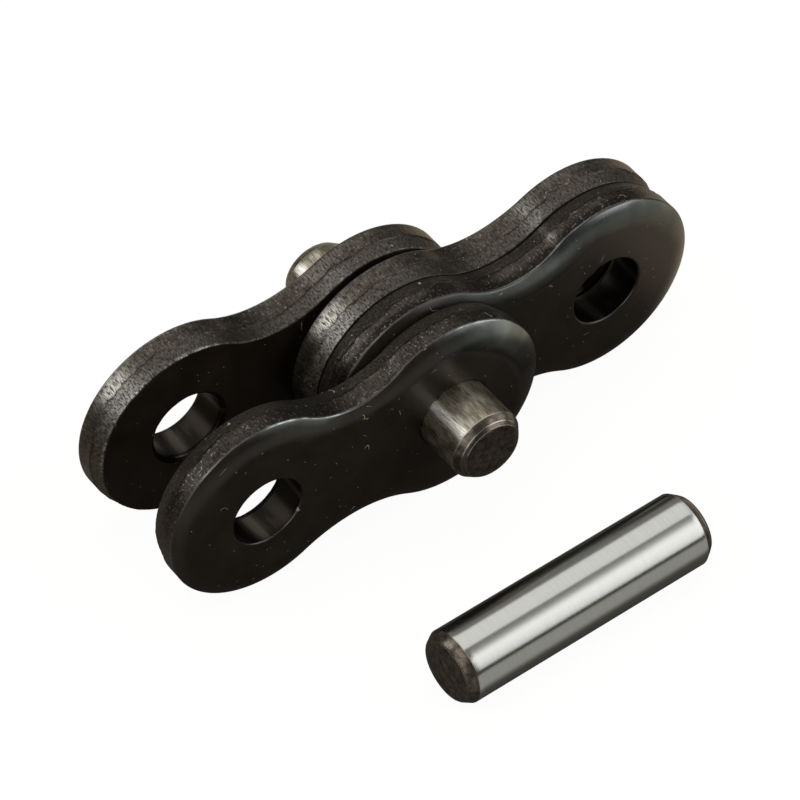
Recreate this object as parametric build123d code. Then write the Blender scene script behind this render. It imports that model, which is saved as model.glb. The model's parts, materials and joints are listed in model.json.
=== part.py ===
from build123d import *
from math import hypot
import os

# A connecting link for a flat-link chain, in millimetres. Two outer plates are driven onto a ground
# pin, two inner plates swing on it between them, and the pin's ends stand out on both sides. The
# second pin of the set, which closes the chain, is out of its holes and lies in front of the plates.
#
# Frame: the origin is the middle of the outer plates' open hole, midway through the stack. X runs
# along the plates to the inner plates' open hole, Y through the stack to the rear, Z is up. The
# plates stand on edge, so what they stand on is one lobe radius below the origin.

# Pins: one end has a long bevel, the other a short bevel and a nose that finds the hole
PIN_DIAMETER = 9.53
PIN_LENGTH = 36.5
PLAIN_BEVEL_LENGTH = 1.0        # along the pin
PLAIN_BEVEL_DEPTH = 0.6         # off the radius
PLAIN_RIM_BEVEL = 0.22          # where that bevel meets the end face
LEAD_BEVEL_LENGTH = 0.85        # along the pin
LEAD_BEVEL_DEPTH = 0.58         # off the radius
NOSE_LENGTH = 0.45              # beyond that bevel
NOSE_DEPTH = 0.36               # off the radius, beyond that bevel

# Plates
PITCH = 26.6                    # between the two hole centres
LOBE_RADIUS = 12.8
WAIST_HALF_WIDTH = 9.0
PLATE_THICKNESS = 5.25

# Edges left by the blanking press. From the outward face in: a skin drawn down into a dome, here two
# bevels on the dome's arc, then a sheared land, and a torn face that leans inwards.
SHOULDER_WIDTH = 2.0            # upper bevel, from the flat face out
SHOULDER_DEPTH = 0.46
BROW_WIDTH = 0.9                # lower and steeper bevel, out to the land
BROW_DEPTH = 0.6
DOME_WAIST_LAG = 0.63           # at the waists the dome follows a line this far outside the land
LAND_DEPTH = 3.33               # below the outward face, where the land ends and the tear starts
TEAR_INSET = 0.56               # of the torn face at the inward face
HOLE_RIM_BEVEL = 0.26           # at the outward face
HOLE_TEAR_GROWTH = 0.5          # of a hole's radius at the inward face
HOLE_TEAR_DEPTH = 0.4

# Clearances: the first two are on the radius
DRIVEN_CLEARANCE = 0.0          # of a pin in the outer plates
RUNNING_CLEARANCE = 0.05        # of a pin in the inner plates
SIDE_PLAY = 0.17                # between plates that lie side by side

# Where the second pin lies
LOOSE_PIN_AHEAD = 17.8          # from the joint pin's front end to the loose pin's middle
LOOSE_PIN_ASIDE = -1.8          # along X from the joint pin to that middle
LOOSE_PIN_TURN = 2.1            # degrees from the plates' length

PIN_RADIUS = PIN_DIAMETER / 2
INNER_PLATE_Y = SIDE_PLAY / 2 + PLATE_THICKNESS                 # outward faces of the inner plates
OUTER_PLATE_Y = INNER_PLATE_Y + SIDE_PLAY + PLATE_THICKNESS     # outward faces of the outer plates


def plate_outline(lobe_radius, waist_half_width):
    """Face in XY: a lobe about each hole centre and a hollow waist tangent to both on each side."""
    middle = PITCH / 2
    waist_radius = (middle**2 + waist_half_width**2 - lobe_radius**2) / (
        2 * (lobe_radius - waist_half_width)
    )
    share = lobe_radius / (lobe_radius + waist_radius)
    join_x = share * middle
    join_y = share * (waist_half_width + waist_radius)
    near_top = (join_x, join_y)
    near_bottom = (join_x, -join_y)
    far_bottom = (PITCH - join_x, -join_y)
    far_top = (PITCH - join_x, join_y)
    near_lobe = ThreePointArc(near_top, (-lobe_radius, 0), near_bottom)
    lower_waist = ThreePointArc(near_bottom, (middle, -waist_half_width), far_bottom)
    far_lobe = ThreePointArc(far_bottom, (PITCH + lobe_radius, 0), far_top)
    upper_waist = ThreePointArc(far_top, (middle, waist_half_width), near_top)
    return make_face(near_lobe + lower_waist + far_lobe + upper_waist)


def top_of(body):
    """Highest face."""
    return body.faces().sort_by(Axis.Z)[-1]


def bottom_of(body):
    """Lowest face."""
    return body.faces().sort_by(Axis.Z)[0]


def domed_slab():
    """Slab with the plate's domed outward face on top at Z = 0, and its walls clear of the land."""
    margin = BROW_WIDTH
    outline = plate_outline(LOBE_RADIUS + margin, WAIST_HALF_WIDTH + DOME_WAIST_LAG + margin)
    brow_drop = SHOULDER_DEPTH + 2 * BROW_DEPTH     # the whole brow, from the top face to the wall
    slab = extrude(outline, -(brow_drop + PLATE_THICKNESS))
    run = BROW_WIDTH / BROW_DEPTH
    top = top_of(slab)
    slab = chamfer(top.edges(), run * brow_drop, brow_drop, reference=top)
    # The shoulder takes off the brow's upper part
    top = top_of(slab)
    along_brow = SHOULDER_DEPTH * hypot(run, 1)
    return chamfer(
        top.edges(), SHOULDER_WIDTH - run * SHOULDER_DEPTH, along_brow, reference=top
    )


def torn_blank():
    """Flat plate with its outward face at Z = 0: upright land, then the face that leans inwards."""
    blank = extrude(plate_outline(LOBE_RADIUS, WAIST_HALF_WIDTH), -PLATE_THICKNESS)
    bottom = bottom_of(blank)
    return chamfer(bottom.edges(), TEAR_INSET, PLATE_THICKNESS - LAND_DEPTH, reference=bottom)


def plate(pin_clearance):
    """Plate with its hole centres at the origin and on +X, and its outward face at Z = 0."""
    body = torn_blank() & domed_slab()
    hole = Cylinder(PIN_RADIUS + pin_clearance, 3 * PLATE_THICKNESS)
    body -= [hole, Pos(PITCH, 0, 0) * hole]
    body = chamfer(top_of(body).inner_wires().edges(), HOLE_RIM_BEVEL)
    bottom = bottom_of(body)
    hole_edges = bottom.inner_wires().edges()
    return chamfer(hole_edges, HOLE_TEAR_GROWTH, HOLE_TEAR_DEPTH, reference=bottom)


def stand(body, x, outward_y):
    """Stand a plate on edge with its near hole at X = x and its outward face at Y = outward_y."""
    outward = 1 if outward_y > 0 else -1
    return Plane(origin=(x, outward_y, 0), x_dir=(1, 0, 0), z_dir=(0, outward, 0)) * body


def pin():
    """Pin along X about its middle, with its plain end on -X and its nosed end on +X."""
    end = PIN_LENGTH / 2
    plain_radius = PIN_RADIUS - PLAIN_BEVEL_DEPTH
    nose = end - NOSE_LENGTH
    nose_radius = PIN_RADIUS - LEAD_BEVEL_DEPTH
    section = Polyline(
        (-end, 0),
        (-end, plain_radius - PLAIN_RIM_BEVEL),
        (-end + PLAIN_RIM_BEVEL, plain_radius),
        (-end + PLAIN_RIM_BEVEL + PLAIN_BEVEL_LENGTH, PIN_RADIUS),
        (nose - LEAD_BEVEL_LENGTH, PIN_RADIUS),
        (nose, nose_radius),
        (end, nose_radius - NOSE_DEPTH),
        (end, 0),
        close=True,
    )
    return revolve(make_face(section), Axis.X)


outer_plate = plate(DRIVEN_CLEARANCE)
inner_plate = plate(RUNNING_CLEARANCE)
both_pins = pin()
loose_pin_place = Pos(
    PITCH + LOOSE_PIN_ASIDE, -(PIN_LENGTH / 2 + LOOSE_PIN_AHEAD), PIN_RADIUS - LOBE_RADIUS
)

nodes = {
    "outer_plate_front": stand(outer_plate, 0, -OUTER_PLATE_Y),
    "outer_plate_rear": stand(outer_plate, 0, OUTER_PLATE_Y),
    "inner_plate_front": stand(inner_plate, PITCH, -INNER_PLATE_Y),
    "inner_plate_rear": stand(inner_plate, PITCH, INNER_PLATE_Y),
    "joint_pin": Pos(PITCH, 0, 0) * Rot(Z=-90) * both_pins,
    "loose_pin": loose_pin_place * Rot(Z=LOOSE_PIN_TURN) * both_pins,
}

os.makedirs("parts", exist_ok=True)
for name, shape in nodes.items():
    export_step(shape, f"parts/{name}.step")
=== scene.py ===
import json
import math
import bpy
import numpy as np
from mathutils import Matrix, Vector
from mathutils.geometry import delaunay_2d_cdt


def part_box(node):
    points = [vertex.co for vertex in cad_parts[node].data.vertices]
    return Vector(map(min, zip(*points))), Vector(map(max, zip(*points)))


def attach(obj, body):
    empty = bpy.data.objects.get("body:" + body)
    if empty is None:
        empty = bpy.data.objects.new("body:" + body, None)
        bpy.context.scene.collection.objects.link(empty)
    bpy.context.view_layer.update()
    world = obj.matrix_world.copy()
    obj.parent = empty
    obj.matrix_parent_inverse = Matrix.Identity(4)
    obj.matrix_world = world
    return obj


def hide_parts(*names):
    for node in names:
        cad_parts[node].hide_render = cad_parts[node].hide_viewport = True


# A chain connecting link on a studio table: four blanked and blackened plates, the ground pin that
# joins them, and the second pin of the set lying in front. Lengths are in metres, and mm is a millimetre.

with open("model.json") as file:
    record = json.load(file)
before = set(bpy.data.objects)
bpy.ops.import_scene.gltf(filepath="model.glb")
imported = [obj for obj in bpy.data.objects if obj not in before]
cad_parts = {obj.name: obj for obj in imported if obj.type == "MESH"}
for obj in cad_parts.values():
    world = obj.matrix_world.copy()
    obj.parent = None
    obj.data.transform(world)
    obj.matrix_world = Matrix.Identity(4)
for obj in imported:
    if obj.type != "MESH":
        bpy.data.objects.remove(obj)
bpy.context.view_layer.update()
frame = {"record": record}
mm = 0.001


# ---------------- sizes, from the frame where it has them
plate_low, plate_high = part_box("outer_plate_front")
joint_low, joint_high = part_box("joint_pin")

lobe_radius = (plate_high.z - plate_low.z) / 2
pitch = plate_high.x - plate_low.x - 2 * lobe_radius
plate_thickness = plate_high.y - plate_low.y
pin_radius = (joint_high.x - joint_low.x) / 2
pin_length = joint_high.y - joint_low.y

waist_half_width = 9.0 * mm
dome_width = 3.0 * mm               # skin drawn down by the blanking press, from the flat face out
dome_depth = 1.07 * mm
# The flat margin inside the dome carries a painted sheen as well as the polish of handling
polish_and_sheen_margin = 2.2 * mm           # of flat face that is still polished by handling, inside the dome
dome_waist_lag = 0.63 * mm          # at the waists the dome follows a line this far outside the land
dome_radius = (dome_width**2 + dome_depth**2) / (2 * dome_depth)
corner_reach = 0.13 * mm            # of the round between dome and land, along each of them
land_depth = 3.33 * mm
tear_inset = 0.56 * mm
tear_step = 0.04 * mm               # the torn face lies this far inside a straight tear
crack_depth = 0.07 * mm             # of the notch where the land ends, at its deepest
tear_drop = 0.03 * mm               # between the end of the land and the start of the tear
burr_round = 0.12 * mm
fit_gap = 0.01 * mm                 # every outline stays this far inside the CAD one
land_gap = 0.016 * mm               # the land's streaks rise and fall about a line this much further in
tear_gap = 0.03 * mm                # no crest of the tear comes nearer to the land's outline than this

hole_rim_round = 0.26 * mm
hole_tear_growth = 0.5 * mm
hole_tear_depth = 0.4 * mm
hole_crumple_height = 0.05 * mm
hole_crumple_spacing = 0.5 * mm
running_clearance = 0.05 * mm

plain_bevel_length = 1.0 * mm
plain_bevel_depth = 0.6 * mm
plain_rim = 0.22 * mm
lead_bevel_length = 0.85 * mm
lead_bevel_depth = 0.58 * mm
nose_length = 0.45 * mm
nose_depth = 0.36 * mm

pin_round = 0.05 * mm               # half of the round at each edge of a pin
pin_row_gap = 0.6 * mm              # between rows of a pin's mesh, at most about this

plain_end = plain_rim + plain_bevel_length
lead_end = nose_length + lead_bevel_length

# Waves of the uneven edge: height, spacing of their knots, and shift from the plate's seed
corner_dashes = ((1.0, 1.4 * mm, 10), (0.6, 0.5 * mm, 11))
land_streaks = ((0.009 * mm, 0.5 * mm, 0), (0.006 * mm, 0.2 * mm, 1))
land_jags = ((0.22 * mm, 3.1 * mm, 2), (0.12 * mm, 0.9 * mm, 3), (0.07 * mm, 0.35 * mm, 4))
tear_crumples = ((0.06 * mm, 0.7 * mm, 5), (0.04 * mm, 0.3 * mm, 6))
burr_waves = ((0.02 * mm, 0.5 * mm, 7),)

# Finishes of a plate's bands and of a pin's, in the order of their meshes' materials
skin, land, tear, bore = range(4)
ground, scale, rim = range(3)


# ---------------- uneven and worn edges
def eased(place):
    """The knot before each place, and the share of the way to the next one, eased in and out."""
    knot = np.floor(place).astype(int)
    share = place - knot
    return knot, share * share * (3 - 2 * share)


def wander(run, length, spacing, seed):
    """Smooth random line from -1 to 1 along a closed run, with knots about one spacing apart."""
    knots = max(4, round(length / spacing))
    heights = np.random.default_rng(seed).uniform(-1, 1, knots)
    knot, share = eased(run / length * knots)
    return heights[knot % knots] * (1 - share) + heights[(knot + 1) % knots] * share


def crumple(run, depth, length, spacing, seed):
    """Smooth random surface from -1 to 1 over a closed run and a depth."""
    knots = max(4, round(length / spacing))
    rows = 64
    heights = np.random.default_rng(seed).uniform(-1, 1, (rows, knots))
    knot, share = eased(run / length * knots)
    row, rise = eased(depth / spacing)

    def line(down):
        """The random line at the row before each place's depth, or at the next one down."""
        level = (row + down) % rows
        return heights[level, knot % knots] * (1 - share) + heights[level, (knot + 1) % knots] * share

    return line(0) * (1 - rise) + line(1) * rise


def waves(run, length, table, seed):
    """Sum of wandering lines, each (height, spacing, shift of the seed)."""
    return sum(height * wander(run, length, spacing, seed + shift) for height, spacing, shift in table)


def patches(run, length, spots):
    """Sum of soft patches along the edge, each (run in mm, reach in mm, strength)."""
    total = np.zeros(len(run))
    for middle, reach, strength in spots:
        gap = np.abs(run - middle * mm)
        gap = np.minimum(gap, length - gap)
        total += strength * np.exp(-((gap / (reach * mm)) ** 2))
    return np.clip(total, 0, 1)


# ---------------- plate outline
def waist_arc(half_width, lobe):
    """Radius of the hollow waist arc, and the height of its centre above the plate's middle line."""
    middle = pitch / 2
    radius = (middle**2 + half_width**2 - lobe**2) / (2 * (lobe - half_width))
    return radius, half_width + radius


def outline(count):
    """Points of the land's outline, their outward normals and the run along it, anticlockwise."""
    radius, height = waist_arc(waist_half_width, lobe_radius)
    lean = math.atan2(height, pitch / 2)
    lobe_run = lobe_radius * 2 * (math.pi - lean)
    waist_run = radius * 2 * (math.pi / 2 - lean)
    length = 2 * (lobe_run + waist_run)
    run = np.arange(count) / count * length
    points = np.zeros((count, 2))
    normals = np.zeros((count, 2))
    pieces = (
        ((0, 0), lobe_radius, lean, 1, lobe_run),
        ((pitch / 2, -height), radius, math.pi - lean, -1, waist_run),
        ((pitch, 0), lobe_radius, math.pi + lean, 1, lobe_run),
        ((pitch / 2, height), radius, -lean, -1, waist_run),
    )
    start = 0
    for centre, arc_radius, first_angle, turn, arc_run in pieces:
        here = (run >= start) & (run < start + arc_run)
        angle = first_angle + turn * (run[here] - start) / arc_radius
        ray = np.stack([np.cos(angle), np.sin(angle)], 1)
        points[here] = np.array(centre) + arc_radius * ray
        normals[here] = turn * ray
        start += arc_run
    return points, normals, run, length


def inset_from_dome_line(points):
    """How far points of the plate lie inside the line that the dome follows."""
    half_width = waist_half_width + dome_waist_lag
    radius, height = waist_arc(half_width, lobe_radius)
    along = pitch / 2 - np.abs(points[..., 0] - pitch / 2)
    across = np.abs(points[..., 1])
    from_lobe = lobe_radius - np.hypot(along, across)
    from_waist = np.hypot(along - pitch / 2, across - height) - radius
    over_waist = along * height - across * pitch / 2 > 0
    return np.where(over_waist, from_waist, from_lobe)


def dome_drop(inset):
    """Depth of the domed skin below the flat face."""
    reach = np.clip(dome_width - inset, 0, dome_width)
    return dome_radius - np.sqrt(dome_radius**2 - reach**2)


# ---------------- meshes
def add_piece(name, body, vertices, faces, smooth, finishes, face_finish, corner_runs):
    """Mesh object that rides on a body, with one finish per face and an edge-run map in millimetres."""
    mesh = bpy.data.meshes.new(name)
    mesh.from_pydata([tuple(v) for v in vertices], [], faces)
    for finish in finishes:
        mesh.materials.append(finish)
    mesh.polygons.foreach_set("material_index", face_finish)
    mesh.polygons.foreach_set("use_smooth", smooth)
    runs = mesh.uv_layers.new(name="edge_run")
    runs.data.foreach_set("uv", np.asarray(corner_runs, np.float32).ravel())
    mesh.update()
    piece = bpy.data.objects.new(name, mesh)
    bpy.context.scene.collection.objects.link(piece)
    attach(piece, body)
    return piece


def ring_faces(first, second, count):
    """Quads between two rings of vertices that start at the given numbers."""
    return [
        (first + i, first + (i + 1) % count, second + (i + 1) % count, second + i)
        for i in range(count)
    ]


def fill_between(outer, holes, points):
    """Triangles over a flat face: inside one loop of vertex numbers, outside the others."""
    numbers = []
    edges = []
    for loop in (outer, *holes):
        start = len(numbers)
        edges += [(start + i, start + (i + 1) % len(loop)) for i in range(len(loop))]
        numbers += loop
    merge_distance = 1e-9
    flat = [Vector(points[n]) for n in numbers]
    made = delaunay_2d_cdt(flat, edges, [list(range(len(outer)))], 1, merge_distance)
    triangles, owners = made[2:4]
    centres = [np.mean([points[n] for n in loop], 0) for loop in holes]
    radii = [0.999 * np.hypot(*(points[loop[0]] - centre)) for loop, centre in zip(holes, centres)]
    faces = []
    for triangle in triangles:
        owned = tuple(numbers[owners[v][0]] for v in triangle)
        middle = np.mean([points[n] for n in owned], 0)
        if all(np.hypot(*(middle - centre)) > radius for centre, radius in zip(centres, radii)):
            faces.append(owned)
    return faces


def plate_edge(count, seed, wear):
    """Rings of the plate's edge, from the flat outward face round to the flat inward face.

    Each ring gives the plate's two lengths, the depth below the outward face, the finish of the
    band that ends at it and its mark of wear and painted light, from -1 for soot and painted shade to 1 for
    clean steel, burnish, painted sheen and painted highlights."""
    line, normals, run, length = outline(count)
    rings = []

    def wave(spacing, shift):
        return wander(run, length, spacing, seed + shift)

    def spots(kind):
        return patches(run, length, wear.get(kind, ()))

    def inward(inset):
        return line - normals * np.broadcast_to(inset, count)[:, None]

    # Clean steel on the land and tear, placed partly as a painted highlight
    bare_and_highlight = spots("bare_and_highlight")
    soot = spots("soot")
    crown_and_sheen = spots("crown_and_sheen")
    brow = spots("brow")
    rub_and_sheen = 1.5 * spots("rub_and_sheen") * (0.9 + 0.1 * wave(1.5 * mm, 8))
    # The tear's lip: clean steel, partly a painted highlight
    lip = spots("lip") * np.clip(0.75 + 0.8 * wave(0.8 * mm, 9), 0, 1)
    corner = np.clip(spots("corner") * (0.85 + 0.3 * waves(run, length, corner_dashes, seed)), 0, 1)
    cracked = np.clip(0.5 + 0.6 * wave(4.0 * mm, 12), 0.1, 1)

    # Flat margin and domed skin, to just before the corner. The dome's inner end is found in a few
    # passes, since the way in from the land isn't square to the line that the dome follows.
    passes = 6
    reach = dome_width - inset_from_dome_line(line)
    for _ in range(passes):
        reach += dome_width - inset_from_dome_line(inward(reach))
    margin_rows = 5
    for row in range(margin_rows):
        share = row / margin_rows
        # The margin and the dome take burnish and a painted sheen, fading in towards the flat
        wear_and_painted_light = share**2 * (0.2 * rub_and_sheen + 0.4 * crown_and_sheen)
        rings.append((inward(reach + polish_and_sheen_margin * (1 - share)), np.zeros(count), skin, wear_and_painted_light))
    dome_rows = 22
    for row in range(dome_rows + 1):
        share = row / dome_rows
        place = inward(reach * (1 - share) + (corner_reach + fit_gap) * share)
        wear_and_painted_light = (0.2 + 0.4 * share) * rub_and_sheen + 0.45 * (1 - share) * crown_and_sheen + 0.5 * share**3 * brow
        rings.append((place, dome_drop(inset_from_dome_line(place)), skin, np.clip(wear_and_painted_light, 0, 1)))

    # Rounded corner down to the land, rubbed bright in uneven dashes
    dome_end = rings[-1][1]
    corner_drop = dome_drop(inset_from_dome_line(line))
    land_start = corner_drop + corner_reach
    corner_rows = 6
    for row in range(1, corner_rows + 1):
        t = row / corner_rows
        inset = (1 - t) ** 2 * corner_reach + fit_gap
        drop = (1 - t) ** 2 * dome_end + 2 * t * (1 - t) * corner_drop + t * t * land_start
        share = math.sin(math.pi * min(1, t * 0.75 + 0.1))
        wear_and_painted_light = (0.6 * rub_and_sheen + 0.5 * brow) * (1 - share) + corner * share
        rings.append((inward(inset), drop, skin, wear_and_painted_light))

    # Sheared land, streaked through the plate, down to a jagged crack line with painted shade along it
    streak = waves(run, length, land_streaks, seed) + land_gap
    land_end = land_depth + waves(run, length, land_jags, seed)
    land_rows = 14
    land_top_darkening_end = 0.55
    crack_shade_fade = 0.06
    for row in range(1, land_rows + 1):
        share = row / land_rows
        drop = land_start * (1 - share) + land_end * share
        inset = streak * min(1, 3 * share) + fit_gap
        # Some plates' lands are darker along their outward side
        grime_and_shade = soot + wear.get("land_top_darkening", 0.0) * max(0, 1 - (share / land_top_darkening_end) ** 2)
        # Painted shade darkens the land next to the crack where it ends
        grime_and_shade += 0.5 * cracked * math.exp(-((1 - share) / crack_shade_fade))
        wear_and_painted_light = np.clip(bare_and_highlight * min(1, 4 * share) - grime_and_shade, -1, 1)
        rings.append((inward(inset), drop, land, wear_and_painted_light))

    # Torn face, which starts with a step and leans in to the inward face
    tear_rows = 18
    tear_end = plate_thickness - burr_round
    tear_crack_shade_fade = 0.1
    lip_start = 5 / 6
    for row in range(tear_rows + 1):
        share = row / tear_rows
        drop = (land_end + tear_drop) * (1 - share) + tear_end * share
        lean = tear_inset * (drop - land_depth) / (plate_thickness - land_depth)
        rough = sum(
            height * crumple(run, drop, length, spacing, seed + shift)
            for height, spacing, shift in tear_crumples
        )
        notch = crack_depth * cracked * math.exp(-(share * 6) ** 1.5)
        inset = np.maximum(lean, 0) + tear_step + notch + rough * (1 - 0.5 * share)
        # Soot, and painted shade along the crack at the start of the tear
        grime_and_shade = soot + 0.5 * cracked * math.exp(-share / tear_crack_shade_fade)
        on_lip = lip * max(0, (share - lip_start) / (1 - lip_start))
        wear_and_painted_light = np.clip(0.8 * bare_and_highlight - grime_and_shade, -1, 1) * (1 - on_lip) + on_lip
        rings.append((inward(np.maximum(inset, tear_gap)), drop, tear, wear_and_painted_light))

    # Soft burr where the tear meets the inward face, and the first of that face, which takes no wear and no
    # painted light
    burr_inset = tear_inset + tear_step
    for t in (0.4, 1.0):
        inset = burr_inset + burr_round * t**2 + waves(run, length, burr_waves, seed) * (1 - t)
        drop = tear_end + burr_round * (1 - (1 - t) ** 2)
        rings.append((inward(inset), np.full(count, drop), tear, lip - 0.5 * (1 - lip)))
    inset = burr_inset + 2.5 * burr_round
    rings.append((inward(inset), np.full(count, plate_thickness), skin, 0.0))
    return rings, run, length


def bore_rings(centre, radius, count, seed):
    """Rings of a punched hole, from the outward face through the plate to the inward face."""
    angle = np.arange(count) / count * 2 * math.pi
    ray = np.stack([np.cos(angle), np.sin(angle)], 1)
    run = angle * radius
    length = 2 * math.pi * radius
    bore_end = plate_thickness - hole_tear_depth
    rim_steps = 5
    rubbed_steps = (3, 4)
    bore_rows = 8
    tear_steps = 4
    profile = []
    for step in range(rim_steps + 1):
        t = step / rim_steps * math.pi / 2
        wear_and_painted_light = 0.35 if step in rubbed_steps else 0.0
        profile.append((hole_rim_round * (1 - math.sin(t)), hole_rim_round * (1 - math.cos(t)), skin, wear_and_painted_light))
    for row in range(1, bore_rows + 1):
        share = row / bore_rows
        profile.append((0, hole_rim_round * (1 - share) + bore_end * share, bore, 0.0))
    for step in range(1, tear_steps + 1):
        share = step / tear_steps
        profile.append((hole_tear_growth * share, bore_end + hole_tear_depth * share, bore, 0.0))
    rings = []
    for number, (growth, drop, finish, wear_and_painted_light) in enumerate(profile):
        torn = finish == bore and growth > 0 and number < len(profile) - 1
        uneven = 0
        if torn:
            crumpled = crumple(run, np.full(count, drop), length, hole_crumple_spacing, seed)
            uneven = hole_crumple_height * crumpled
        wall = np.array(centre) + ray * (np.full(count, radius + growth) + uneven)[:, None]
        rings.append((wall, np.full(count, drop), finish, wear_and_painted_light))
    return rings, run, length


def build_plate(node, body, near_hole_x, outward_y, clearance, seed, wear):
    """One blanked plate, standing on edge, that takes the place of the given CAD node."""
    edge_count = 900
    hole_count = 160
    flat = []
    depth = []
    wear_and_painted_light = []
    faces = []
    face_finish = []
    corner_runs = []

    def add_rings(rings, run, length, turned):
        """Adds a sleeve of rings and gives the first vertex number of its first and last ring."""
        count = len(run)
        first = sum(len(part) for part in flat)
        step = length / count
        for number, (place, drop, finish, rub_and_painted_light) in enumerate(rings):
            flat.append(place)
            depth.append(drop)
            wear_and_painted_light.append(np.broadcast_to(rub_and_painted_light, count))
            if number == 0:
                continue
            lower = first + number * count
            quads = ring_faces(lower - count, lower, count)
            faces.extend([quad[::-1] for quad in quads] if turned else quads)
            face_finish.extend([finish] * count)
            above = rings[number - 1][1]
            for i in range(count):
                j = (i + 1) % count
                here = run[i] / mm
                there = (run[i] + step) / mm
                corners = [
                    (here, above[i] / mm),
                    (there, above[j] / mm),
                    (there, drop[j] / mm),
                    (here, drop[i] / mm),
                ]
                corner_runs.extend(corners[::-1] if turned else corners)
        return first, first + (len(rings) - 1) * count

    edge_ends = add_rings(*plate_edge(edge_count, seed, wear), True)
    hole_ends = [
        add_rings(*bore_rings((x, 0), pin_radius + clearance, hole_count, seed + shift), False)
        for x, shift in ((0, 20), (pitch, 30))
    ]
    flat = np.concatenate(flat)
    depth = np.concatenate(depth)

    for side in (0, 1):
        outer = list(range(edge_ends[side], edge_ends[side] + edge_count))
        holes = [list(range(ends[side], ends[side] + hole_count)) for ends in hole_ends]
        for triangle in fill_between(outer, holes, flat):
            a, b, c = (flat[n] for n in triangle)
            turn = (b[0] - a[0]) * (c[1] - a[1]) - (b[1] - a[1]) * (c[0] - a[0])
            if (turn > 0) == (side == 1):
                triangle = triangle[::-1]
            faces.append(triangle)
            face_finish.append(skin)
            corner_runs.extend([(flat[n][0] / mm, flat[n][1] / mm) for n in triangle])

    # A plate that faces the other way is a mirror image, so its faces are turned over
    outward = 1 if outward_y > 0 else -1
    vertices = np.stack([near_hole_x + flat[:, 0], outward_y - outward * depth, flat[:, 1]], 1)
    if outward > 0:
        order = []
        start = 0
        for number, face in enumerate(faces):
            order.extend(range(start + len(face) - 1, start - 1, -1))
            start += len(face)
            faces[number] = face[::-1]
        corner_runs = np.asarray(corner_runs)[order]
    smooth = [len(face) == 4 for face in faces]
    finishes = (plate_skin, plate_land, plate_tear, plate_bore)
    piece = add_piece("blanked_" + node, body, vertices, faces, smooth, finishes, face_finish, corner_runs)
    # Mark of wear and painted light at each vertex: soot and painted shade below zero, clean steel,
    # burnish, painted sheen and painted highlights above
    rub_and_painted_light = piece.data.attributes.new("wear_and_painted_light", "FLOAT", "POINT")
    rub_and_painted_light.data.foreach_set("value", np.concatenate(wear_and_painted_light).astype(np.float32))
    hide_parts(node)


def pin_profile():
    """(along, radius, finish) of a pin about its middle, from its plain end to its nose."""
    end = pin_length / 2
    plain = pin_radius - plain_bevel_depth
    nose = end - nose_length
    nose_radius = pin_radius - lead_bevel_depth
    soft = pin_round
    return [
        (-end, 0.0, scale),
        (-end, plain - plain_rim - soft, scale),
        (-end + soft * 0.5, plain - plain_rim + soft * 0.3, rim),
        (-end + plain_rim, plain, scale),
        (-end + plain_rim + plain_bevel_length - soft, pin_radius - soft * 0.6, scale),
        (-end + plain_rim + plain_bevel_length + soft, pin_radius, rim),
        (nose - lead_bevel_length - soft, pin_radius, ground),
        (nose - lead_bevel_length + soft, pin_radius - soft * 0.6, rim),
        (nose - soft, nose_radius + soft * 0.6, scale),
        (nose + soft, nose_radius - soft * 0.8, rim),
        (end - soft, nose_radius - nose_depth + soft * 0.8, scale),
        (end, nose_radius - nose_depth - soft, rim),
        (end, 0.0, scale),
    ]


def build_pin(name, node, body, middle, lead, ground_finish):
    """Pin for a CAD node, with its local X along the pin and its lead end towards the given direction."""
    count = 192
    profile = [(along, max(0.0, radius - fit_gap), finish) for along, radius, finish in pin_profile()]
    rows = []
    for (along, radius, _), (next_along, next_radius, finish) in zip(profile, profile[1:]):
        steps = max(1, round(math.hypot(next_along - along, next_radius - radius) / pin_row_gap))
        for step in range(steps):
            share = step / steps
            here = along + (next_along - along) * share
            rows.append((here, radius + (next_radius - radius) * share, finish))
    rows.append(profile[-1])
    angle = np.arange(count) / count * 2 * math.pi
    round_run = [i / count * 2 * math.pi * pin_radius / mm for i in range(count + 1)]
    vertices = []
    faces = []
    face_finish = []
    corner_runs = []
    upper = 0
    for number, (along, radius, _) in enumerate(rows):
        lower = len(vertices)
        if radius == 0:
            vertices.append((along, 0, 0))
        else:
            vertices.extend((along, radius * math.cos(a), radius * math.sin(a)) for a in angle)
        if number == 0:
            continue
        last_along, last_radius, finish = rows[number - 1]
        up = last_along / mm
        down = along / mm
        for i in range(count):
            j = (i + 1) % count
            here = round_run[i]
            there = round_run[i + 1]
            if last_radius == 0:
                faces.append((upper, lower + j, lower + i))
                corner_runs.extend([(up, here), (down, there), (down, here)])
            elif radius == 0:
                faces.append((upper + i, upper + j, lower))
                corner_runs.extend([(up, here), (up, there), (down, here)])
            else:
                faces.append((upper + i, upper + j, lower + j, lower + i))
                corner_runs.extend([(up, here), (up, there), (down, there), (down, here)])
            face_finish.append(finish)
        upper = lower
    smooth = [True] * len(faces)
    finishes = (ground_finish, pin_scale, pin_rim)
    piece = add_piece(name, body, vertices, faces, smooth, finishes, face_finish, corner_runs)
    piece.location = middle
    piece.rotation_euler = lead.to_track_quat("X", "Z").to_euler()
    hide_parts(node)


# ---------------- finishes
def linear(colour):
    """Linear colour with alpha from sRGB hex such as "4a4238"."""
    channels = [int(colour[i : i + 2], 16) / 255 for i in (0, 2, 4)]
    return tuple(c / 12.92 if c <= 0.04045 else ((c + 0.055) / 1.055) ** 2.4 for c in channels) + (1.0,)


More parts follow.
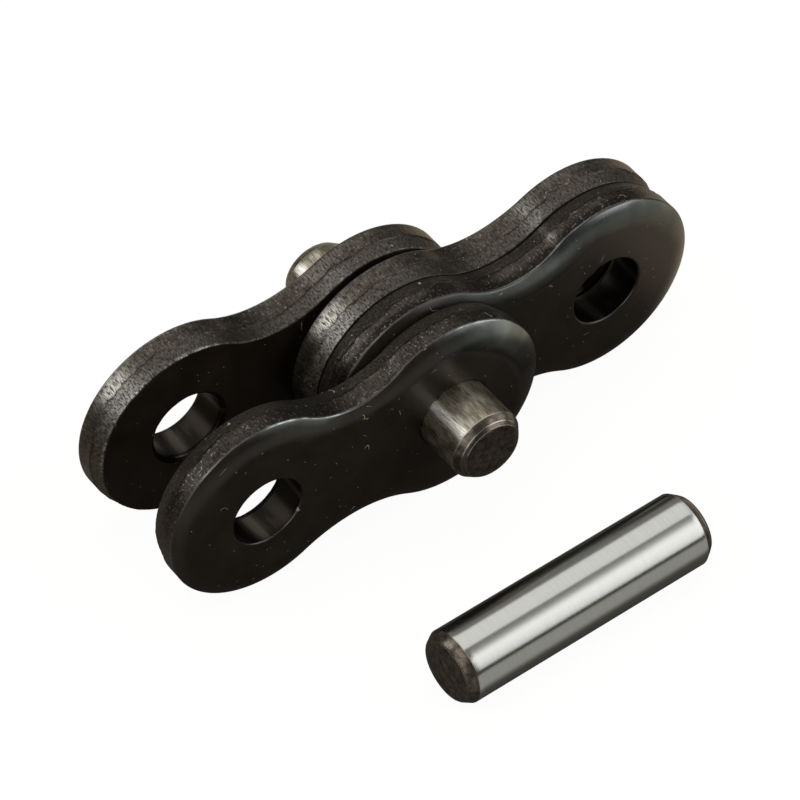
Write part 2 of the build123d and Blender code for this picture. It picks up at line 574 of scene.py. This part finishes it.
def add(tree, kind, inputs, **settings):
    """Shader node of a kind, with its settings, and its inputs set to values or linked to other outputs."""
    node = tree.nodes.new("ShaderNode" + kind)
    for name, value in settings.items():
        setattr(node, name, value)
    for name, value in inputs.items():
        if isinstance(value, bpy.types.NodeSocket):
            tree.links.new(value, node.inputs[name])
        else:
            node.inputs[name].default_value = value
    return node


def new_finish(name):
    """Empty node material and its tree."""
    finish = bpy.data.materials.new(name)
    finish.use_nodes = True
    finish.node_tree.nodes.clear()
    return finish, finish.node_tree


def on_edge(tree, along, through):
    """Place on the edge-run map, counted in grains of the given millimetres. The map runs along and
    through a plate's edge, round and through a hole, and along and round a pin."""
    run = add(tree, "UVMap", {}, uv_map="edge_run")
    grains = (1 / along, 1 / through, 1.0)
    return add(tree, "VectorMath", {0: run.outputs["UV"], 1: grains}, operation="MULTIPLY").outputs[0]


def dust(tree, place):
    """Mask of what has settled on the steel: sparse dots and a few short curled fibres."""
    cells = add(tree, "TexVoronoi", {"Vector": place, "Scale": 1 / (1.2 * mm)})
    dots = add(tree, "MapRange", {"Value": cells.outputs["Distance"], "From Min": 0.07, "From Max": 0.045})
    curl = add(tree, "TexNoise", {"Vector": place, "Scale": 1 / (2.2 * mm), "Detail": 1.0})
    level = add(tree, "Math", {0: curl.outputs["Fac"], 1: 0.5}, operation="SUBTRACT")
    offset = add(tree, "Math", {0: level.outputs[0]}, operation="ABSOLUTE")
    thread = add(tree, "MapRange", {"Value": offset.outputs[0], "From Min": 0.01, "From Max": 0.004})
    sparse = add(tree, "TexNoise", {"Vector": place, "Scale": 1 / (1.9 * mm), "Detail": 0.0})
    kept = add(tree, "MapRange", {"Value": sparse.outputs["Fac"], "From Min": 0.755, "From Max": 0.775})
    fibres = add(
        tree, "Math", {0: thread.outputs["Result"], 1: kept.outputs["Result"]}, operation="MULTIPLY"
    )
    settled = add(tree, "Math", {0: dots.outputs["Result"], 1: fibres.outputs[0]}, operation="MAXIMUM")
    return settled.outputs[0]


def lay_dust(tree, place, tone, metallic, roughness, bump):
    """Finishes a steel of the given looks with pale, matt dust lying on it."""
    settled = dust(tree, place)
    colour = add(tree, "Mix", {0: settled, 6: tone, 7: linear("b3a78c")}, data_type="RGBA")
    metal = add(tree, "Mix", {0: settled, 2: metallic, 3: 0.0}, data_type="FLOAT")
    rough = add(tree, "Mix", {0: settled, 2: roughness, 3: 0.9}, data_type="FLOAT")
    shader = add(
        tree,
        "BsdfPrincipled",
        {
            "Base Color": colour.outputs[2],
            "Metallic": metal.outputs[0],
            "Roughness": rough.outputs[0],
            "Normal": bump.outputs["Normal"],
        },
    )
    add(tree, "OutputMaterial", {"Surface": shader.outputs["BSDF"]})


def lay_grime_and_shade(tree, wear_and_painted_light, tone, grime_and_shade):
    """Colour of a cut edge, darkened by dirt where it is sooty and by painted shade along its crack."""
    clean = add(tree, "MapRange", {"Value": wear_and_painted_light, "From Min": -1.0, "From Max": 0.0})
    grimy = add(tree, "Mix", {0: clean.outputs["Result"], 6: linear(grime_and_shade), 7: tone}, data_type="RGBA")
    return grimy.outputs[2]


def bare_and_highlight_flakes(tree, wear_and_painted_light, pattern, low, high, least):
    """Mask of clean steel, partly a painted highlight: flakes of a pattern between two levels, as far as
    the edge's mark of wear and painted light goes.
    """
    flake = add(
        tree,
        "MapRange",
        {"Value": pattern, "From Min": low, "From Max": high, "To Min": least},
        interpolation_type="SMOOTHSTEP",
    )
    return add(
        tree, "Math", {0: flake.outputs["Result"], 1: wear_and_painted_light}, operation="MULTIPLY", use_clamp=True
    ).outputs[0]


def blackened_skin():
    """Rolled steel skin under hot black oxide: a brown-black that hardly shines where it lies flat,
    burnished grey with a painted sheen over the dome and the flat margin inside it, and clean steel along
    the corner."""
    finish, tree = new_finish("black_oxide_skin")
    place = add(tree, "TexCoord", {}).outputs["Object"]
    wear_and_painted_light = add(tree, "Attribute", {}, attribute_name="wear_and_painted_light").outputs["Fac"]
    smear = add(tree, "TexNoise", {"Vector": place, "Scale": 1 / (5 * mm), "Detail": 6.0, "Roughness": 0.6})
    grain = add(tree, "TexNoise", {"Vector": place, "Scale": 1 / (0.22 * mm), "Detail": 3.0})
    mottle = add(tree, "MapRange", {"Value": smear.outputs["Fac"], "From Min": 0.3, "From Max": 0.7})
    oxide = add(
        tree,
        "Mix",
        {0: mottle.outputs["Result"], 6: linear("1b1510"), 7: linear("2c241c")},
        data_type="RGBA",
    )
    uneven = add(
        tree,
        "MapRange",
        {"Value": smear.outputs["Fac"], "From Min": 0.3, "From Max": 0.7, "To Min": -0.08, "To Max": 0.08},
    )
    # Burnish over the dome, partly a painted sheen
    handled_and_sheen = add(tree, "Math", {0: wear_and_painted_light, 1: uneven.outputs["Result"]}, operation="ADD")
    burnish_and_sheen = add(tree, "MapRange", {"Value": handled_and_sheen.outputs[0], "From Min": 0.06, "From Max": 0.6})
    dome_tone_and_sheen = add(
        tree,
        "Mix",
        {0: burnish_and_sheen.outputs["Result"], 6: oxide.outputs[2], 7: linear("717574")},
        data_type="RGBA",
    )
    rub_and_sheen = add(tree, "MapRange", {"Value": wear_and_painted_light, "From Min": 0.6, "From Max": 0.95})
    tone = add(
        tree,
        "Mix",
        {0: rub_and_sheen.outputs["Result"], 6: dome_tone_and_sheen.outputs[2], 7: linear("bcbfbe")},
        data_type="RGBA",
    )
    metal = add(tree, "MapRange", {"Value": burnish_and_sheen.outputs["Result"], "From Min": 0.0, "From Max": 0.4})
    rough = add(
        tree,
        "MapRange",
        {"Value": smear.outputs["Fac"], "From Min": 0.3, "From Max": 0.7, "To Min": 0.26, "To Max": 0.36},
    )
    bump = add(tree, "Bump", {"Height": grain.outputs["Fac"], "Strength": 0.4, "Distance": 0.006 * mm})
    lay_dust(tree, place, tone.outputs[2], metal.outputs["Result"], rough.outputs["Result"], bump)
    return finish


def sheared_land():
    """Edge that the press sheared clean: fine streaks through the plate under brown-grey oxide, dull
    with dirt in places and painted shade along the crack, and clean steel in others, partly a painted
    highlight. The streaks are drawn twice as coarse as real ones."""
    finish, tree = new_finish("sheared_steel_land")
    place = add(tree, "TexCoord", {}).outputs["Object"]
    wear_and_painted_light = add(tree, "Attribute", {}, attribute_name="wear_and_painted_light").outputs["Fac"]
    streak = add(
        tree,
        "TexNoise",
        {"Vector": on_edge(tree, 0.2, 0.9), "Scale": 1.0, "Detail": 4.0, "Roughness": 0.65},
    )
    patch = add(
        tree, "TexNoise", {"Vector": on_edge(tree, 1.8, 1.1), "Scale": 1.0, "Detail": 6.0, "Roughness": 0.6}
    )
    cloud = add(tree, "MapRange", {"Value": patch.outputs["Fac"], "From Min": 0.3, "From Max": 0.7})
    dull = add(
        tree,
        "Mix",
        {0: cloud.outputs["Result"], 6: linear("332c25"), 7: linear("615a51")},
        data_type="RGBA",
    )
    grimy = lay_grime_and_shade(tree, wear_and_painted_light, dull.outputs[2], "1f1914")
    scratched = add(
        tree,
        "MapRange",
        {
            "Value": streak.outputs["Fac"],
            "From Min": 0.36,
            "From Max": 0.64,
            "To Min": 0.35,
            "To Max": 1.65,
        },
    )
    dark = add(tree, "VectorMath", {0: grimy, 3: scratched.outputs["Result"]}, operation="SCALE")
    # Clean steel flakes, partly a painted highlight
    bare_and_highlight = bare_and_highlight_flakes(tree, wear_and_painted_light, streak.outputs["Fac"], 0.42, 0.56, 0.06)
    spark = add(
        tree, "TexNoise", {"Vector": place, "Scale": 1 / (0.34 * mm), "Detail": 4.0, "Roughness": 0.65}
    )
    glint = add(
        tree, "MapRange", {"Value": spark.outputs["Fac"], "From Min": 0.58, "From Max": 0.72, "To Max": 0.6}
    )
    bright = add(tree, "Math", {0: bare_and_highlight, 1: glint.outputs["Result"]}, operation="MAXIMUM")
    tone = add(
        tree,
        "Mix",
        {0: bright.outputs[0], 6: dark.outputs["Vector"], 7: linear("b3b2ab")},
        data_type="RGBA",
    )
    metal = add(tree, "MapRange", {"Value": bright.outputs[0], "From Max": 0.5, "To Min": 0.8})
    rough = add(
        tree,
        "MapRange",
        {"Value": patch.outputs["Fac"], "From Min": 0.3, "From Max": 0.7, "To Min": 0.25, "To Max": 0.38},
    )
    bump = add(tree, "Bump", {"Height": streak.outputs["Fac"], "Strength": 0.5, "Distance": 0.012 * mm})
    lay_dust(tree, place, tone.outputs[2], metal.outputs["Result"], rough.outputs["Result"], bump)
    return finish


def torn_flank():
    """Edge that broke away under the land: coarse and gritty, brown-black in its pits, grey on its
    crests, with painted shade along the crack, and clean steel only in patches and along its lip, partly a
    painted highlight."""
    finish, tree = new_finish("torn_steel_flank")
    place = add(tree, "TexCoord", {}).outputs["Object"]
    wear_and_painted_light = add(tree, "Attribute", {}, attribute_name="wear_and_painted_light").outputs["Fac"]
    grain = add(
        tree,
        "TexNoise",
        {
            "Vector": on_edge(tree, 0.2, 0.48),
            "Scale": 1.0,
            "Detail": 7.0,
            "Roughness": 0.7,
            "Distortion": 0.12,
        },
    )
    crest = add(tree, "MapRange", {"Value": grain.outputs["Fac"], "From Min": 0.38, "From Max": 0.7})
    dull = add(
        tree,
        "Mix",
        {0: crest.outputs["Result"], 6: linear("1c1611"), 7: linear("756f65")},
        data_type="RGBA",
    )
    grimy = lay_grime_and_shade(tree, wear_and_painted_light, dull.outputs[2], "1b1611")
    # Clean steel flakes, partly a painted highlight
    bare_and_highlight = bare_and_highlight_flakes(tree, wear_and_painted_light, grain.outputs["Fac"], 0.42, 0.58, 0.1)
    tone = add(tree, "Mix", {0: bare_and_highlight, 6: grimy, 7: linear("c4c3bd")}, data_type="RGBA")
    metal = add(tree, "MapRange", {"Value": bare_and_highlight, "From Max": 0.5, "To Min": 0.65})
    bump = add(tree, "Bump", {"Height": grain.outputs["Fac"], "Strength": 0.8, "Distance": 0.035 * mm})
    lay_dust(tree, place, tone.outputs[2], metal.outputs["Result"], 0.42, bump)
    return finish


def punched_bore():
    """Hole wall wiped smooth by the punch: dark oxide, with a few soft pale smears through the plate."""
    finish, tree = new_finish("punched_steel_bore")
    smear = add(
        tree,
        "TexNoise",
        {"Vector": on_edge(tree, 2.6, 16.0), "Scale": 1.0, "Detail": 4.0, "Roughness": 0.45},
    )
    spread = add(
        tree,
        "MapRange",
        {"Value": smear.outputs["Fac"], "From Min": 0.5, "From Max": 0.66},
        interpolation_type="SMOOTHSTEP",
    )
    tone = add(
        tree,
        "Mix",
        {0: spread.outputs["Result"], 6: linear("1c1610"), 7: linear("4b453d")},
        data_type="RGBA",
    )
    shader = add(
        tree, "BsdfPrincipled", {"Base Color": tone.outputs[2], "Metallic": 0.8, "Roughness": 0.32}
    )
    add(tree, "OutputMaterial", {"Surface": shader.outputs["BSDF"]})
    return finish


def ground_steel(name, low, high, roughness):
    """Hardened steel ground between wheels: fine rings round the pin, so that reflections stay
    crisp round it and smear along it."""
    finish, tree = new_finish(name)
    grind = add(tree, "TexNoise", {"Vector": on_edge(tree, 0.15, 5.0), "Scale": 1.0, "Detail": 3.0})
    tone = add(tree, "Mix", {0: grind.outputs["Fac"], 6: linear(low), 7: linear(high)}, data_type="RGBA")
    tangent = add(tree, "Tangent", {}, direction_type="RADIAL", axis="X")
    shader = add(
        tree,
        "BsdfPrincipled",
        {
            "Base Color": tone.outputs[2],
            "Metallic": 1.0,
            "Roughness": roughness,
            "Anisotropic": 0.85,
            "Anisotropic Rotation": 0.25,
            "Tangent": tangent.outputs["Tangent"],
        },
    )
    add(tree, "OutputMaterial", {"Surface": shader.outputs["BSDF"]})
    return finish


def scored_steel():
    """The same ground pin after it was pressed through the plates: browned, scored lengthwise, and
    pale in one band along it, partly a film of dust in the scores that keeps it from mirroring and partly a
    painted highlight."""
    finish, tree = new_finish("scored_pin_steel")
    # Side of the pale band, which is a dust film and a painted highlight
    rub_and_highlight_side = 132               # degrees round the pin, from its right side over its top
    rub_and_highlight_run = math.radians(rub_and_highlight_side) * pin_radius / mm
    score = add(
        tree,
        "TexNoise",
        {"Vector": on_edge(tree, 1.7, 0.13), "Scale": 1.0, "Detail": 6.0, "Roughness": 0.7},
    )
    blotch = add(tree, "TexNoise", {"Vector": on_edge(tree, 2.5, 1.2), "Scale": 1.0, "Detail": 5.0})
    film = add(tree, "MapRange", {"Value": blotch.outputs["Fac"], "From Min": 0.35, "From Max": 0.65})
    browned = add(
        tree, "Mix", {0: film.outputs["Result"], 6: linear("756c59"), 7: linear("b5ae9d")}, data_type="RGBA"
    )
    cut = add(
        tree,
        "MapRange",
        {"Value": score.outputs["Fac"], "From Min": 0.35, "From Max": 0.65, "To Min": 0.3, "To Max": 1.6},
    )
    scored = add(tree, "VectorMath", {0: browned.outputs[2], 3: cut.outputs["Result"]}, operation="SCALE")
    run = add(tree, "UVMap", {}, uv_map="edge_run")
    parts = add(tree, "SeparateXYZ", {"Vector": run.outputs["UV"]})
    from_rub_and_highlight = add(tree, "Math", {0: parts.outputs["Y"], 1: rub_and_highlight_run}, operation="SUBTRACT")
    beside = add(tree, "Math", {0: from_rub_and_highlight.outputs[0]}, operation="ABSOLUTE")
    rub_and_painted_light = add(
        tree,
        "MapRange",
        {"Value": beside.outputs[0], "From Min": 0.25, "From Max": 0.95, "To Min": 1.0, "To Max": 0.0},
        interpolation_type="SMOOTHSTEP",
    )
    broken = add(
        tree, "MapRange", {"Value": score.outputs["Fac"], "From Min": 0.38, "From Max": 0.55, "To Min": 0.1}
    )
    bright = add(
        tree, "Math", {0: rub_and_painted_light.outputs["Result"], 1: broken.outputs["Result"]}, operation="MULTIPLY"
    )
    tone = add(
        tree,
        "Mix",
        {0: bright.outputs[0], 6: scored.outputs["Vector"], 7: linear("f4f1e8")},
        data_type="RGBA",
    )
    metal = add(tree, "MapRange", {"Value": bright.outputs[0], "To Min": 0.85, "To Max": 0.4})
    rough = add(
        tree,
        "MapRange",
        {"Value": score.outputs["Fac"], "From Min": 0.35, "From Max": 0.65, "To Min": 0.38, "To Max": 0.26},
    )
    bump = add(tree, "Bump", {"Height": score.outputs["Fac"], "Strength": 0.6, "Distance": 0.014 * mm})
    shader = add(
        tree,
        "BsdfPrincipled",
        {
            "Base Color": tone.outputs[2],
            "Metallic": metal.outputs["Result"],
            "Roughness": rough.outputs["Result"],
            "Normal": bump.outputs["Normal"],
        },
    )
    add(tree, "OutputMaterial", {"Surface": shader.outputs["BSDF"]})
    return finish


def heat_scale():
    """Bevels and ends that the grinding left alone: brown scale from hardening, thin enough to
    let some steel shine through."""
    finish, tree = new_finish("quenched_steel_scale")
    place = add(tree, "TexCoord", {}).outputs["Object"]
    blotch = add(
        tree, "TexNoise", {"Vector": place, "Scale": 1 / (0.8 * mm), "Detail": 6.0, "Roughness": 0.6}
    )
    cloud = add(tree, "MapRange", {"Value": blotch.outputs["Fac"], "From Min": 0.3, "From Max": 0.7})
    tone = add(
        tree,
        "Mix",
        {0: cloud.outputs["Result"], 6: linear("372e25"), 7: linear("81776a")},
        data_type="RGBA",
    )
    bump = add(tree, "Bump", {"Height": blotch.outputs["Fac"], "Strength": 0.4, "Distance": 0.012 * mm})
    shader = add(
        tree,
        "BsdfPrincipled",
        {
            "Base Color": tone.outputs[2],
            "Metallic": 0.75,
            "Roughness": 0.24,
            "Normal": bump.outputs["Normal"],
        },
    )
    add(tree, "OutputMaterial", {"Surface": shader.outputs["BSDF"]})
    return finish


plate_skin = blackened_skin()
plate_land = sheared_land()
plate_tear = torn_flank()
plate_bore = punched_bore()
bright_ground = ground_steel("ground_steel_bright", "c0c0bc", "cfcfcb", 0.23)
pin_rim = ground_steel("ground_steel_rim", "a8a59e", "c4c2bc", 0.3)
scored_ground = scored_steel()
pin_scale = heat_scale()


# ---------------- the link
# Wear and painted light along a plate's edge, each spot (run in mm, reach in mm, strength). The run starts
# where the near lobe meets its upper waist and goes round the near lobe first. On the land and the tear,
# bare_and_highlight is clean steel, partly placed as a painted highlight, soot is dirt, land_top_darkening
# darkens the land along its outward side, and lip is the tear's bright lower edge, clean steel and partly a
# painted highlight. On the dome, rub_and_sheen is how it is burnished all over, crown_and_sheen how its
# upper part is, with the flat margin above it, both with a painted sheen, and brow how its foot is; corner
# is the rounded corner below it. What a plate lacks isn't named.
everywhere = 200                    # a reach in mm that takes in the whole edge
outer_y = plate_low.y
inner_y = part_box("inner_plate_front")[0].y
plates = {
    "outer_plate_front": {
        "body": "outer_link",
        "near_hole_x": 0,
        "outward_y": outer_y,
        "clearance": 0,
        "seed": 101,
        "wear": {
            "bare_and_highlight": [(126.5, 3, 0.3)],
            "soot": [(0, everywhere, 0.55), (2, 3.5, 0.4), (15, 2.5, 0.3), (110, 4, 0.3), (133, 3.5, 0.4)],
            "rub_and_sheen": [(91, 12, 0.2), (106, 8, 0.95), (0.5, 5, 0.15)],
            "crown_and_sheen": [(104.5, 8, 0.9), (115, 4, 0.2)],
            "brow": [(0, 5, 1.0), (110.5, 4, 0.35)],
            "corner": [
                (0, everywhere, 0.2),
                (1.5, 5, 1.0),
                (14, 3.5, 0.5),
                (110.5, 6, 1.0),
                (126, 6, 0.2),
                (135, 4, 0.7),
            ],
        },
    },
    "outer_plate_rear": {
        "body": "outer_link",
        "near_hole_x": 0,
        "outward_y": -outer_y,
        "clearance": 0,
        "seed": 202,
        "wear": {
            "bare_and_highlight": [(16.6, 3.2, 0.78), (121, 2.5, 0.25)],
            "soot": [(0, 3.5, 0.5), (105, 4.5, 0.8), (133, 4, 0.5)],
            "lip": [
                (15.5, 2.6, 1.0),
                (6, 4.5, 0.95),
                (25, 3.5, 0.8),
                (109.5, 3.5, 0.8),
                (120.5, 2, 0.6),
                (133, 3, 0.4),
            ],
            "rub_and_sheen": [(0, everywhere, 0.27)],
            "corner": [(0, everywhere, 0.15), (13, 16, 1.0), (131, 7, 1.0)],
        },
    },
    "inner_plate_front": {
        "body": "inner_link_front",
        "near_hole_x": pitch,
        "outward_y": inner_y,
        "clearance": running_clearance,
        "seed": 303,
        "wear": {
            "bare_and_highlight": [(122.6, 0.8, 0.9), (129.5, 2.5, 0.3), (7, 1.5, 0.25)],
            "soot": [(0, everywhere, 0.45), (2, 4, 0.45), (106, 3, 0.5), (110, 4, 0.35), (134, 3, 0.4)],
            "land_top_darkening": 0.9,
            "lip": [(12, 2, 0.4)],
            "rub_and_sheen": [(88, 10, 0.35), (109, 15, 0.85), (127, 6, 0.6)],
            "crown_and_sheen": [(112, 12, 0.25), (126, 5, 0.7)],
            "brow": [(134, 4.5, 1.0), (3, 3.5, 0.4)],
            "corner": [(0, everywhere, 0.05), (11, 6, 0.5), (111.5, 1.5, 0.4), (123.5, 8, 0.5)],
        },
    },
    "inner_plate_rear": {
        "body": "inner_link_rear",
        "near_hole_x": pitch,
        "outward_y": -inner_y,
        "clearance": running_clearance,
        "seed": 404,
        "wear": {
            "bare_and_highlight": [(16.8, 3.3, 0.75), (122.3, 1.6, 0.4)],
            "soot": [(1, 3.5, 0.45), (105, 4.5, 0.8), (134, 3, 0.45)],
            "lip": [(17, 3, 0.7), (13, 2, 0.4)],
            "rub_and_sheen": [(0, everywhere, 0.27)],
            "corner": [(0, everywhere, 0.4)],
        },
    },
}
for node, plate in plates.items():
    build_plate(node, **plate)

joint_middle = (joint_low + joint_high) / 2
build_pin("fitted_joint_pin", "joint_pin", "outer_link", joint_middle, Vector((0, -1, 0)), scored_ground)

# The loose pin's mount is the middle of its ground length, which its unlike ends put off its own middle
mount = next(m for m in frame["record"]["mounts"] if m["name"] == "loose_pin")
loose_lead = Vector(mount["axis"])
loose_middle = Vector(mount["pos_m"]) + loose_lead * (lead_end - plain_end) / 2
build_pin("lying_loose_pin", "loose_pin", "outer_link", loose_middle, loose_lead, bright_ground)


# ---------------- table, light and camera
table_width = 6.0

# Block of painted shadow on the table's painted glow: its centre and half size, and how wide its edge is
shade_middle = Vector((26, -15, 0)) * mm
shade_half = Vector((34, 27.5, 1000)) * mm
shade_fade = Vector((12, 6, 1000)) * mm

# Where the table's painted glow starts and stops growing: to the right behind the pins, and to the front
# before them
glow_left = -12 * mm
glow_right = 62 * mm
glow_back = -22 * mm
glow_front = -44 * mm

# Azimuth, elevation, width and height of each lamp in degrees, and how bright it shows in a mirror
softboxes = {
    "front_right_softbox": (128, 30, 56, 42, 1.55),
    "overhead_softbox": (-5, 75, 90, 50, 0.85),
    "left_softbox": (-112, 32, 46, 52, 1.1),
    "back_left_softbox": (-50, 31, 22, 32, 2.2),
}
softbox_distance = 1.5

picture_width = 800
focal_length = 5005.487             # in points of a picture that is picture_width of them wide
eye_place = Vector((-211.328, -330.437, 432.734)) * mm
gaze = Vector((0.396745, 0.551337, -0.733908))


def lay_table():
    """Wide table that is white to the camera. To reflections it shows painted light: a painted shadow dark
    about the link and the loose pin, warm behind them and brighter to the right, and a neutral grey in
    front of them."""
    bpy.ops.mesh.primitive_plane_add(size=table_width, location=(0, 0, -lobe_radius))
    top = bpy.context.object
    top.name = "studio_table"
    finish, tree = new_finish("pale_studio_table")
    path = add(tree, "LightPath", {})
    place = add(tree, "TexCoord", {}).outputs["Object"]
    from_middle = add(tree, "VectorMath", {0: place, 1: shade_middle}, operation="SUBTRACT")
    aside = add(tree, "VectorMath", {0: from_middle.outputs[0]}, operation="ABSOLUTE")
    beyond = add(tree, "VectorMath", {0: aside.outputs[0], 1: shade_half}, operation="SUBTRACT")
    outside = add(tree, "VectorMath", {0: beyond.outputs[0], 1: (0, 0, 0)}, operation="MAXIMUM")
    in_fades = add(tree, "VectorMath", {0: outside.outputs[0], 1: shade_fade}, operation="DIVIDE")
    away = add(tree, "VectorMath", {0: in_fades.outputs[0]}, operation="LENGTH")
    lit = add(
        tree,
        "MapRange",
        {"Value": away.outputs["Value"], "From Min": 0.1, "To Min": 0.07},
        interpolation_type="SMOOTHSTEP",
    )
    parts = add(tree, "SeparateXYZ", {"Vector": place})
    rightward = add(
        tree,
        "MapRange",
        {
            "Value": parts.outputs["X"],
            "From Min": glow_left,
            "From Max": glow_right,
            "To Min": 0.16,
            "To Max": 0.55,
        },
    )
    forward = add(
        tree, "MapRange", {"Value": parts.outputs["Y"], "From Min": glow_back, "From Max": glow_front}
    )
    level = add(
        tree,
        "Mix",
        {0: forward.outputs["Result"], 2: rightward.outputs["Result"], 3: 0.38},
        data_type="FLOAT",
    )
    glow = add(tree, "Math", {0: lit.outputs["Result"], 1: level.outputs[0]}, operation="MULTIPLY")
    tint = add(
        tree,
        "Mix",
        {0: forward.outputs["Result"], 6: linear("efdcbf"), 7: linear("f1f4ec")},
        data_type="RGBA",
    )
    seen = add(
        tree,
        "Mix",
        {0: path.outputs["Is Camera Ray"], 6: tint.outputs[2], 7: (1, 1, 1, 1)},
        data_type="RGBA",
    )
    mirrored = add(
        tree,
        "Math",
        {0: path.outputs["Is Glossy Ray"], 1: path.outputs["Is Transmission Ray"]},
        operation="ADD",
    )
    reflected = add(tree, "Math", {0: mirrored.outputs[0], 1: glow.outputs[0]}, operation="MULTIPLY")
    strength = add(
        tree,
        "Math",
        {0: path.outputs["Is Camera Ray"], 1: 0.95, 2: reflected.outputs[0]},
        operation="MULTIPLY_ADD",
    )
    shader = add(
        tree,
        "BsdfPrincipled",
        {
            "Base Color": linear("55524d"),
            "Roughness": 1.0,
            "Specular IOR Level": 0.0,
            "Emission Color": seen.outputs[2],
            "Emission Strength": strength.outputs[0],
        },
    )
    add(tree, "OutputMaterial", {"Surface": shader.outputs["BSDF"]})
    top.data.materials.append(finish)


def direction(azimuth, elevation):
    """Unit vector for an azimuth clockwise from +Y, seen from above, and an elevation, in degrees."""
    a = math.radians(azimuth)
    e = math.radians(elevation)
    return Vector((math.cos(e) * math.sin(a), math.cos(e) * math.cos(a), math.sin(e)))


def hang_softbox(name, azimuth, elevation, width, height, brightness):
    """Square-on area lamp that shows the given brightness in a mirror."""
    lamp = bpy.data.lights.new(name, "AREA")
    lamp.shape = "RECTANGLE"
    lamp.size = 2 * softbox_distance * math.tan(math.radians(width / 2))
    lamp.size_y = 2 * softbox_distance * math.tan(math.radians(height / 2))
    lamp.energy = brightness * math.pi * lamp.size * lamp.size_y
    holder = bpy.data.objects.new(name, lamp)
    toward = direction(azimuth, elevation)
    holder.location = toward * softbox_distance
    holder.rotation_euler = toward.to_track_quat("Z", "Y").to_euler()
    bpy.context.scene.collection.objects.link(holder)


def light_room():
    """World that is white to the camera, and to all else a dim room, darkest behind the camera."""
    world = bpy.data.worlds.new("studio")
    bpy.context.scene.world = world
    world.use_nodes = True
    tree = world.node_tree
    tree.nodes.clear()
    path = add(tree, "LightPath", {})
    place = add(tree, "TexCoord", {})
    brightest = direction(5, 35)
    away = add(tree, "VectorMath", {0: place.outputs["Generated"], 1: brightest}, operation="DOT_PRODUCT")
    rise = add(
        tree,
        "MapRange",
        {"Value": away.outputs["Value"], "From Min": -0.4, "From Max": 0.8, "To Min": 0.04, "To Max": 0.22},
        interpolation_type="SMOOTHSTEP",
    )
    room = add(tree, "Background", {"Color": linear("fbfaf4"), "Strength": rise.outputs["Result"]})
    white = add(tree, "Background", {"Color": (1, 1, 1, 1), "Strength": 1.0})
    shown = add(
        tree, "MixShader", {0: path.outputs["Is Camera Ray"], 1: room.outputs[0], 2: white.outputs[0]}
    )
    add(tree, "OutputWorld", {"Surface": shown.outputs[0]})


lay_table()
light_room()
for name, lamp in softboxes.items():
    hang_softbox(name, *lamp)

camera = bpy.data.cameras.new("studio_camera")
camera.sensor_width = 36.0
camera.lens = focal_length / picture_width * camera.sensor_width
camera.clip_start = 0.01
camera.clip_end = 20.0
eye = bpy.data.objects.new("studio_camera", camera)
eye.location = eye_place
eye.rotation_euler = gaze.to_track_quat("-Z", "Y").to_euler()
bpy.context.scene.collection.objects.link(eye)
bpy.context.scene.camera = eye

bpy.context.scene.view_settings.view_transform = "Standard"
